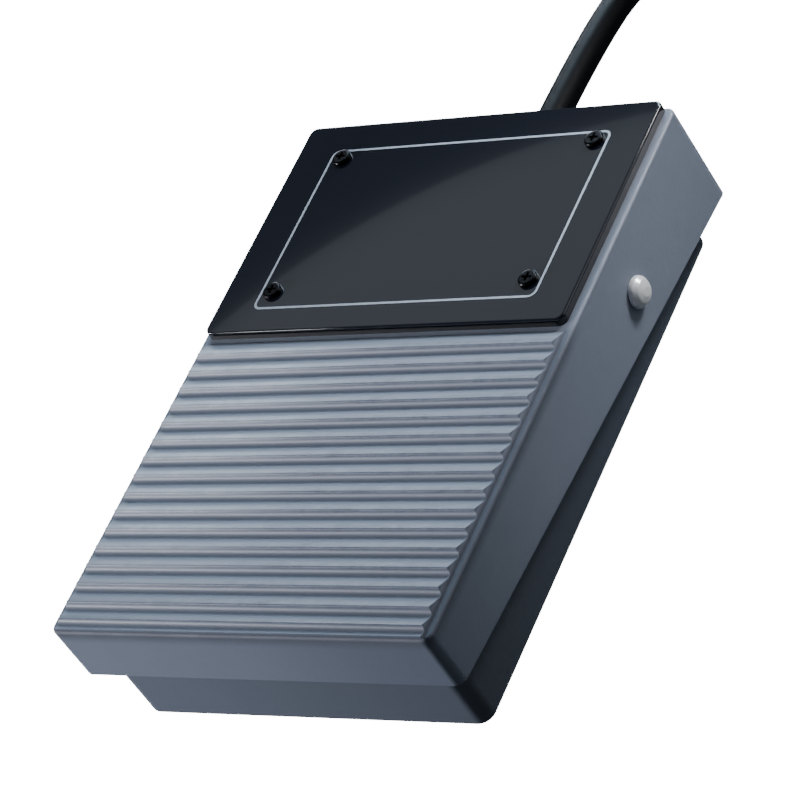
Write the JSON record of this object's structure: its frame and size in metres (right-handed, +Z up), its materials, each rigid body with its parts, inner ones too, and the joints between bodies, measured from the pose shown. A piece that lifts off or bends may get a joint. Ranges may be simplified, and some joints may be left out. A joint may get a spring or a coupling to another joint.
{
  "type": "foot pedal switch",
  "caption": "Desk foot pedal: a ribbed cast cover with a glossy plate tilts on a cross pin over a base tray, works a snap switch and springs back, with a cord and computer plug.",
  "frame": {"origin": "on the floor, under the middle of the pedal's length and width, cord left out", "axes": "+X to the right side where the pin's head is, +Y to the rear where the cord leaves, +Z up"},
  "size_m": [0.0786, 0.2619, 0.0264],
  "materials": {
    "cover_paint": "satin grey paint on die-cast aluminium",
    "base_paint": "dark satin paint on die-cast aluminium",
    "gloss_plate": "polished black acrylic",
    "black_steel": "black oxide",
    "bright_steel": "bright nickel",
    "zinc_steel": "zinc",
    "spring_steel": "drawn and bare",
    "foot_rubber": "matte",
    "switch_plastic": "matte thermoset",
    "plunger_plastic": "matte acetal",
    "contact_brass": "tinned brass",
    "board_laminate": "solder mask on glass laminate",
    "chip_epoxy": "matte",
    "crystal_can": "satin",
    "header_nylon": "matte nylon",
    "wire_insulation": "semi-matte",
    "cord_jacket": "satin",
    "moulded_black": "satin"
  },
  "bodies": {
    "base": {"base_tray": "base_paint", "cord_tie": "black_steel", "pivot_pin": "bright_steel", "pin_cap": "bright_steel", "plug_shell": "bright_steel", "pivot_washers": "zinc_steel", "switch_bracket": "zinc_steel", "bracket_screws": "zinc_steel", "board_screws": "zinc_steel", "clamp_screws": "zinc_steel", "cord_clamp": "zinc_steel", "switch_screws": "zinc_steel", "return_spring": "spring_steel", "rubber_feet": "foot_rubber", "switch_case": "switch_plastic", "switch_cover": "switch_plastic", "terminal_common": "contact_brass", "terminal_open": "contact_brass", "terminal_closed": "contact_brass", "plug_contacts": "contact_brass", "controller_board": "board_laminate", "controller_chip": "chip_epoxy", "capacitor": "chip_epoxy", "crystal": "crystal_can", "wire_header": "header_nylon", "plug_tongue": "header_nylon", "switch_leads": "wire_insulation", "cable_cores": "wire_insulation", "cord_inner": "cord_jacket", "cord_lead": "cord_jacket", "cord_coil": "cord_jacket", "cord_tail": "cord_jacket", "strain_relief": "moulded_black", "plug_boot": "moulded_black"},
    "pedal": {"pedal_cover": "cover_paint", "cover_plate": "gloss_plate", "plate_screws": "black_steel", "actuator_screw": "zinc_steel", "actuator_nut": "zinc_steel"},
    "lever": {"switch_lever": "spring_steel"},
    "plunger": {"switch_plunger": "plunger_plastic"},
    "blade": {"contact_blade": "spring_steel"}
  },
  "joints": [
    {"name": "pedal_tilt", "type": "hinge", "parent": "base", "child": "pedal", "pos_m": [0, 0.0216, 0.01485], "axis": [1, 0, 0], "range_deg": [0, 4.5], "stiffness_Nm_per_rad": 3.2, "springref_deg": -5.73, "deforming": ["return_spring"]},
    {"name": "lever_hinge", "type": "hinge", "parent": "base", "child": "lever", "pos_m": [0, 0.0078, 0.0144], "axis": [1, 0, 0], "range_deg": [0, 9.8]},
    {"name": "plunger_slide", "type": "slide", "parent": "base", "child": "plunger", "axis": [0, 0, -1], "range_m": [0, 0.0006]},
    {"name": "blade_hinge", "type": "hinge", "parent": "base", "child": "blade", "pos_m": [0, -0.0028, 0.0119], "axis": [-1, 0, 0], "range_deg": [0, 4.3]}
  ],
  "couplings": [
    {"joint": "lever_hinge", "follows": "pedal_tilt", "ratio": 2.15},
    {"joint": "plunger_slide", "follows": "pedal_tilt", "m_per_rad": 0.0069},
    {"joint": "blade_hinge", "follows": "pedal_tilt", "ratio": 0.933}
  ]
}
